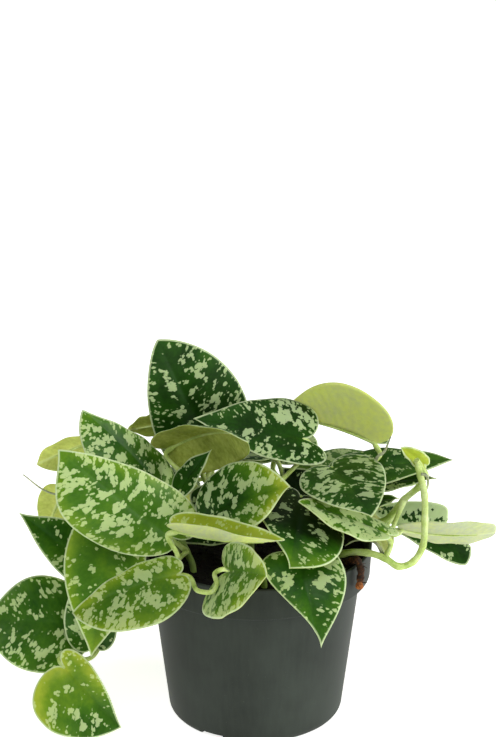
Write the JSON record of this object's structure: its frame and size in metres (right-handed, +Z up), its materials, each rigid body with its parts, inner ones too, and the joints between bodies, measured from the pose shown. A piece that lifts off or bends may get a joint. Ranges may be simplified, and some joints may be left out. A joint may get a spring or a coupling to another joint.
{
  "type": "potted plant",
  "caption": "Satin pothos with silver-blotched heart-shaped leaves on trailing stems, rooted in compost in a round, dark grey plastic nursery pot.",
  "frame": {"origin": "centre of the pot's underside, in the plane that the pot stands on", "axes": "+Z up along the pot's axis; +X along the plant's longest spread, from the hanging shoot towards the looping shoot; -Y is the side the plant faces"},
  "size_m": [0.2631, 0.2234, 0.196],
  "materials": {
    "pot": "dark green-grey moulded polypropylene with a satin surface",
    "soil": null,
    "dry_root": "dry brown root with an orange-brown end",
    "stem": null,
    "leaf": null,
    "young_leaf": null
  },
  "bodies": {
    "root": {"pot": "pot", "soil": "soil", "dry_root": "dry_root", "vine_crown": "stem", "vine_left_front": "stem", "vine_left": "stem", "vine_centre": "stem", "vine_front": "stem", "vine_top": "stem", "vine_right": "stem", "vine_right_back": "stem", "vine_back_left": "stem", "vine_back_right": "stem", "leaf_crown": "leaf", "leaf_left_upper": "leaf", "leaf_left_front": "leaf", "leaf_arching": "leaf", "leaf_folded": "leaf", "leaf_top": "leaf", "leaf_right_upper": "leaf", "leaf_centre": "leaf", "leaf_rolled": "young_leaf", "leaf_shaded": "leaf", "leaf_front": "leaf", "leaf_front_left": "leaf", "leaf_hanging": "leaf", "leaf_left_outer": "leaf", "leaf_left_low": "leaf", "leaf_left_behind": "leaf", "leaf_lowest": "leaf", "leaf_left_turned": "leaf", "leaf_left_small": "leaf", "leaf_crown_turned": "leaf", "leaf_right": "leaf", "leaf_right_front": "leaf", "leaf_over_rim": "leaf", "leaf_right_under": "leaf", "leaf_front_right": "leaf", "leaf_right_back": "leaf", "leaf_shoot": "young_leaf", "leaf_right_turned": "leaf", "leaf_right_outer": "leaf", "leaf_right_low": "leaf", "leaf_right_inner": "leaf", "leaf_inner": "leaf", "leaf_back_left": "leaf", "leaf_back_centre": "leaf", "leaf_back_right": "leaf", "leaf_back_upper": "leaf", "leaf_back_low_left": "leaf", "leaf_back_low_right": "leaf", "leaf_side_right": "leaf", "leaf_back_inner": "leaf", "leaf_side_left": "leaf", "leaf_back_under_left": "leaf", "leaf_back_under_centre": "leaf", "leaf_back_under_right": "leaf"}
  },
  "joints": []
}
